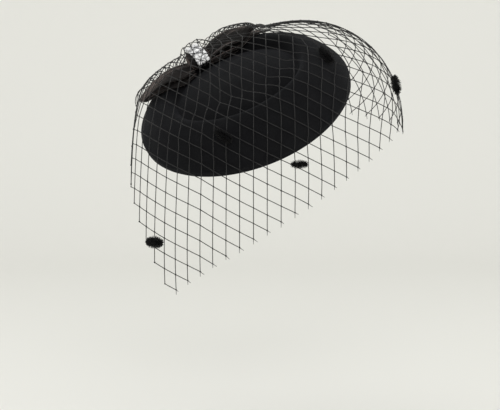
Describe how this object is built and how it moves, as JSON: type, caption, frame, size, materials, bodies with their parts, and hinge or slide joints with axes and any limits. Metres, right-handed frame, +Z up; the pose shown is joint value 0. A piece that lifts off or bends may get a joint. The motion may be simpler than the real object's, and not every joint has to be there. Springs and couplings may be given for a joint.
{
  "type": "pillbox hat with net veil",
  "caption": "Round brimless felt hat worn tilted, with a ribbon bow, a stone-set wrap on its knot and a diamond net veil with chenille dots.",
  "frame": {"origin": "centre of the hat's rim opening, where it sits on the head", "axes": "+Z is up as worn, the wearer looks along -Y, and the wearer's left is +X; the hat keeps its worn tilt"},
  "size_m": [0.2049, 0.1591, 0.2057],
  "materials": {
    "felt": "matt black wool felt with a short nap",
    "velvet": "black velvet ribbon with a warm sheen at its edges",
    "net": "black diamond-mesh millinery net, knotted at each crossing",
    "chenille": "black chenille tufts, matt",
    "crystal": "clear faceted stones with bright backs",
    "setting": "thin bright metal setting",
    "comb": "plain black comb"
  },
  "bodies": {
    "root": {"felt_crown": "felt", "bow_loop_left": "velvet", "bow_loop_right": "velvet", "bow_tail": "velvet", "bow_knot": "velvet", "rhinestone_band": "setting", "veil": "net", "hair_comb": "comb", "rhinestone_1": "crystal", "rhinestone_2": "crystal", "rhinestone_3": "crystal", "rhinestone_4": "crystal", "rhinestone_5": "crystal", "rhinestone_6": "crystal", "rhinestone_7": "crystal", "rhinestone_8": "crystal", "rhinestone_9": "crystal", "rhinestone_10": "crystal", "rhinestone_11": "crystal", "rhinestone_12": "crystal", "rhinestone_13": "crystal", "rhinestone_14": "crystal", "rhinestone_15": "crystal", "rhinestone_16": "crystal", "rhinestone_17": "crystal", "rhinestone_18": "crystal", "chenille_dot_1": "chenille", "chenille_dot_2": "chenille", "chenille_dot_3": "chenille", "chenille_dot_4": "chenille", "chenille_dot_5": "chenille"}
  },
  "joints": []
}
